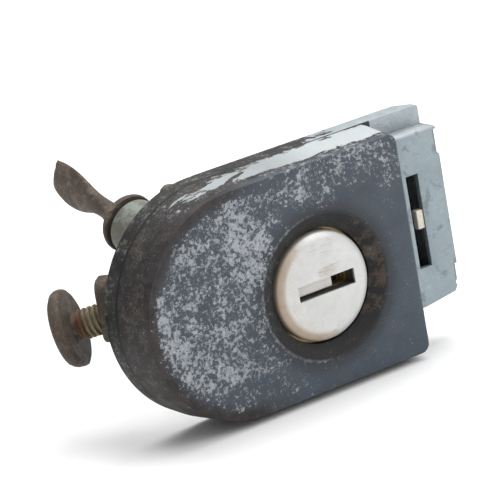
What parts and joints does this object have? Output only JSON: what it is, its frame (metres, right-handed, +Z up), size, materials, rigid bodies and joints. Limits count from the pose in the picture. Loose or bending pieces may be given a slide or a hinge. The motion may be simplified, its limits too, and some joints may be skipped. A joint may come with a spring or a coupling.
{
  "type": "surface-mounted deadbolt door lock",
  "caption": "Surface-mounted deadbolt lock: D-shaped cover with a key cylinder, slotted strike box at the square end, thumb-turn and clamp screw behind the back plate.",
  "frame": {"origin": "on the key cylinder axis, at the rear face of the back plate", "axes": "+X along the bolt towards the strike box, +Y out of the rear face towards the door, +Z up; the key side faces -Y"},
  "size_m": [0.077, 0.0446, 0.0455],
  "materials": {
    "cover_paint": "worn dark slate paint over cast metal, light corrosion speckle",
    "plate_paint": "worn black paint with dull green-grey wear",
    "box_metal": "dull light blue-grey cast metal",
    "disc_metal": "scratched off-white nickel",
    "steel": "plain steel",
    "brass": "dull brass",
    "tab_metal": "pale cream metal",
    "aged_metal": "brown-grey patina",
    "sleeve_metal": "pale grey-green oxide",
    "washer": "matt black"
  },
  "bodies": {
    "case": {"front_cover": "cover_paint", "back_plate": "plate_paint", "strike_box": "box_metal", "slot_centre_tab": "tab_metal", "cylinder_body": "brass", "cover_screw_1": "steel", "cover_screw_2": "steel", "cover_screw_3": "steel", "cylinder_screw_1": "steel", "cylinder_screw_2": "steel", "cylinder_screw_3": "steel", "cylinder_screw_4": "steel", "bolt_guide_upper": "steel", "bolt_guide_lower": "steel", "detent_spring": "steel", "spring_pin_1": "brass", "spring_pin_2": "brass", "locating_stud": "aged_metal", "thumb_turn_sleeve": "sleeve_metal", "clamp_lug": "aged_metal"},
    "key_plug": {"key_plug": "disc_metal", "plug_retaining_clip": "steel", "plug_cam": "steel", "cam_screw": "steel"},
    "bolt": {"deadbolt": "steel", "drive_bar": "steel", "bolt_rivet_1": "brass", "bolt_rivet_2": "brass"},
    "thumb_turn": {"thumb_turn": "aged_metal", "thumb_crank": "steel", "friction_washer": "washer"},
    "wafer_1": {"wafer_1": "brass"},
    "wafer_2": {"wafer_2": "brass"},
    "wafer_3": {"wafer_3": "brass"},
    "shutter": {"keyway_shutter": "steel"},
    "clamp_pad": {"clamp_pad": "brass"},
    "clamp_screw": {"clamp_screw": "aged_metal"}
  },
  "joints": [
    {"name": "key_turn", "type": "hinge", "parent": "case", "child": "key_plug", "pos_m": [0, 0, 0], "axis": [0, 1, 0], "range_deg": [0, 90]},
    {"name": "bolt_slide", "type": "slide", "parent": "case", "child": "bolt", "axis": [1, 0, 0], "range_m": [0, 0.00848]},
    {"name": "thumb_turn_turn", "type": "hinge", "parent": "case", "child": "thumb_turn", "pos_m": [-0.0251, 0, 0.015], "axis": [0, 0.9781, 0.2079], "range_deg": [-90, 0]},
    {"name": "wafer_1_slide", "type": "slide", "parent": "key_plug", "child": "wafer_1", "axis": [1, 0, 0], "range_m": [-0.0004, 0.0004]},
    {"name": "wafer_2_slide", "type": "slide", "parent": "key_plug", "child": "wafer_2", "axis": [1, 0, 0], "range_m": [-0.0004, 0.0004]},
    {"name": "wafer_3_slide", "type": "slide", "parent": "key_plug", "child": "wafer_3", "axis": [1, 0, 0], "range_m": [-0.0004, 0.0004]},
    {"name": "shutter_swing", "type": "hinge", "parent": "key_plug", "child": "shutter", "pos_m": [-0.0014, -0.01063, 0.00195], "axis": [1, 0, 0], "range_deg": [0, 60], "stiffness_Nm_per_rad": 0.0005},
    {"name": "clamp_pad_slide", "type": "slide", "parent": "case", "child": "clamp_pad", "axis": [-0.7154, 0.6671, -0.2079], "range_m": [0, 0.002]},
    {"name": "clamp_screw_turn", "type": "hinge", "parent": "clamp_pad", "child": "clamp_screw", "pos_m": [-0.035, 0.0056, 0.0025], "axis": [-0.7154, 0.6671, -0.2079], "range_deg": [0, 720]}
  ],
  "couplings": [
    {"joint": "key_turn", "follows": "bolt_slide", "rad_per_m": 185.12},
    {"joint": "thumb_turn_turn", "follows": "bolt_slide", "rad_per_m": -185.12},
    {"joint": "clamp_screw_turn", "follows": "clamp_pad_slide", "rad_per_m": 6283.1}
  ]
}
